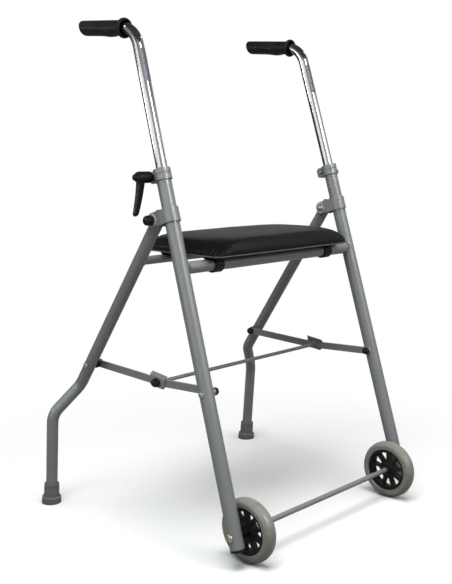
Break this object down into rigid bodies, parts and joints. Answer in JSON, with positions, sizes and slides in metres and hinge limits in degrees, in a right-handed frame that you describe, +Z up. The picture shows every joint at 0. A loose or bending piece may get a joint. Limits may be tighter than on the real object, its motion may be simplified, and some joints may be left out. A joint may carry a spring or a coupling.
{
  "type": "two-wheeled walker",
  "caption": "Folding walker with front wheels, rubber-tipped rear legs, telescoping handles held by clamp levers, folding stays and a flip-up padded seat.",
  "frame": {"origin": "on the floor, in the middle of the footprint", "axes": "+Z up, -Y forwards towards the wheels, +X to the user's left"},
  "size_m": [0.679, 0.5999, 1.0263],
  "materials": {
    "frame_paint": "satin silver grey",
    "chrome": "bright plated",
    "black_plastic": "moulded black",
    "grip_rubber": "soft moulded",
    "foot_rubber": "matte grey",
    "tyre": "smooth warm grey",
    "seat_vinyl": "black vinyl over foam",
    "nylon": "pale moulded"
  },
  "bodies": {
    "front_frame": {"right_front_leg": "frame_paint", "right_leg_end_plug": "black_plastic", "right_hinge_bracket": "frame_paint", "right_hinge_sleeve": "nylon", "right_hinge_washer": "nylon", "right_hinge_bolt": "chrome", "right_hinge_cap": "black_plastic", "right_height_clamp": "frame_paint", "right_clamp_bolt": "chrome", "right_axle_bolt": "chrome", "right_axle_sleeve": "nylon", "right_front_stay_bolt": "black_plastic", "left_front_leg": "frame_paint", "left_leg_end_plug": "black_plastic", "left_hinge_bracket": "frame_paint", "left_hinge_sleeve": "nylon", "left_hinge_washer": "nylon", "left_hinge_bolt": "chrome", "left_hinge_cap": "black_plastic", "left_height_clamp": "frame_paint", "left_clamp_bolt": "chrome", "left_axle_bolt": "chrome", "left_axle_sleeve": "nylon", "left_front_stay_bolt": "black_plastic", "axle_tie_rod": "frame_paint", "front_seat_bar": "frame_paint"},
    "rear_frame": {"right_rear_leg": "frame_paint", "right_foot_tip": "foot_rubber", "right_rear_stay_spacer": "black_plastic", "right_rear_stay_bolt": "black_plastic", "left_rear_leg": "frame_paint", "left_foot_tip": "foot_rubber", "left_rear_stay_spacer": "black_plastic", "left_rear_stay_bolt": "black_plastic", "rear_seat_bar": "frame_paint"},
    "front_stays": {"right_front_stay": "frame_paint", "right_stop_bracket": "frame_paint", "right_mid_joint_screw": "black_plastic", "left_front_stay": "frame_paint", "left_stop_bracket": "frame_paint", "left_mid_joint_screw": "black_plastic"},
    "rear_stays": {"right_rear_stay": "frame_paint", "left_rear_stay": "frame_paint", "fold_rod": "frame_paint"},
    "right_handle": {"right_handle_tube": "chrome", "right_grip": "grip_rubber"},
    "left_handle": {"left_handle_tube": "chrome", "left_grip": "grip_rubber"},
    "right_lever": {"right_clamp_lever": "black_plastic"},
    "left_lever": {"left_clamp_lever": "black_plastic"},
    "right_wheel": {"right_wheel_tyre": "tyre", "right_wheel_rim": "black_plastic"},
    "left_wheel": {"left_wheel_tyre": "tyre", "left_wheel_rim": "black_plastic"},
    "seat": {"seat_board": "black_plastic", "seat_cushion": "seat_vinyl", "right_seat_hinge_clip": "black_plastic", "right_seat_rest": "black_plastic", "left_seat_hinge_clip": "black_plastic", "left_seat_rest": "black_plastic"}
  },
  "joints": [
    {"name": "rear_frame_fold", "type": "hinge", "parent": "front_frame", "child": "rear_frame", "pos_m": [0, -0.02166, 0.63876], "axis": [-1, 0, 0], "range_deg": [0, 34]},
    {"name": "front_stay_fold", "type": "hinge", "parent": "front_frame", "child": "front_stays", "pos_m": [0, -0.15702, 0.3217], "axis": [1, 0, 0], "range_deg": [0, 57.14]},
    {"name": "rear_stay_fold", "type": "hinge", "parent": "rear_frame", "child": "rear_stays", "pos_m": [0, 0.19497, 0.3194], "axis": [-1, 0, 0], "range_deg": [0, 44.55]},
    {"name": "seat_flip", "type": "hinge", "parent": "front_frame", "child": "seat", "pos_m": [0, -0.08661, 0.5507], "axis": [1, 0, 0], "range_deg": [0, 95]},
    {"name": "right_handle_slide", "type": "slide", "parent": "front_frame", "child": "right_handle", "axis": [0.027, 0.2938, 0.9555], "range_m": [-0.15, 0.02]},
    {"name": "right_clamp_lever_turn", "type": "hinge", "parent": "front_frame", "child": "right_lever", "pos_m": [-0.25762, -0.01253, 0.71985], "axis": [1, 0, 0], "range_deg": [0, 100]},
    {"name": "right_wheel_spin", "type": "hinge", "parent": "front_frame", "child": "right_wheel", "pos_m": [-0.2337, -0.2364, 0.0635], "axis": [1, 0, 0], "continuous": true},
    {"name": "left_handle_slide", "type": "slide", "parent": "front_frame", "child": "left_handle", "axis": [-0.027, 0.2938, 0.9555], "range_m": [-0.15, 0.02]},
    {"name": "left_clamp_lever_turn", "type": "hinge", "parent": "front_frame", "child": "left_lever", "pos_m": [0.25762, -0.01253, 0.71985], "axis": [1, 0, 0], "range_deg": [0, 100]},
    {"name": "left_wheel_spin", "type": "hinge", "parent": "front_frame", "child": "left_wheel", "pos_m": [0.2337, -0.2364, 0.0635], "axis": [1, 0, 0], "continuous": true}
  ],
  "couplings": [
    {"joint": "front_stay_fold", "follows": "rear_frame_fold", "ratio": 1.6803},
    {"joint": "rear_stay_fold", "follows": "rear_frame_fold", "ratio": 1.31}
  ]
}
